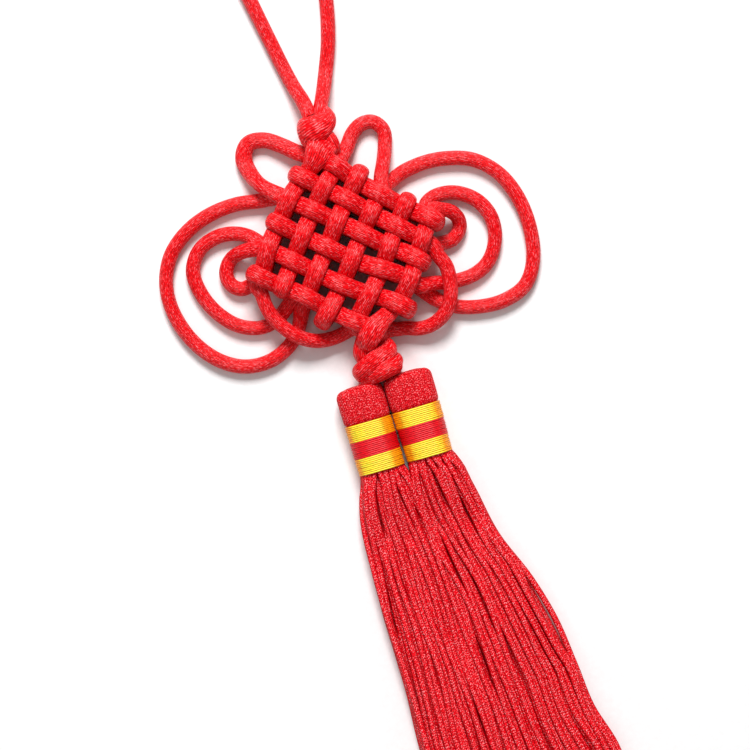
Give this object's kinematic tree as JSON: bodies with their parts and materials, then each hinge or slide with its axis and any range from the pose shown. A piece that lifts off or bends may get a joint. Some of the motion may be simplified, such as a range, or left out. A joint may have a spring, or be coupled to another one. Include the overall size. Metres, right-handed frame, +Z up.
{
  "type": "chinese knot tassel",
  "caption": "Flat decorative endless knot of satin cord with ears at its corners and sides, a hanging loop above and two banded cord tassels below.",
  "frame": {"origin": "middle of the footprint, on the surface that the knot lies on", "axes": "+Y towards the hanging loop, +Z up from the surface out of the knot's face, +X to the right of the face"},
  "size_m": [0.0652, 0.2482, 0.0085],
  "materials": {
    "satin_cord": "satin",
    "tassel_yarn": "satin",
    "thread_yellow": "satin",
    "thread_red": "satin"
  },
  "bodies": {
    "root": {"knot_cord": "satin_cord", "hanging_loop": "satin_cord", "tassel_left": "tassel_yarn", "tassel_right": "tassel_yarn", "band_top_left": "thread_yellow", "band_middle_left": "thread_red", "band_low_left": "thread_yellow", "band_top_right": "thread_yellow", "band_middle_right": "thread_red", "band_low_right": "thread_yellow"}
  },
  "joints": []
}
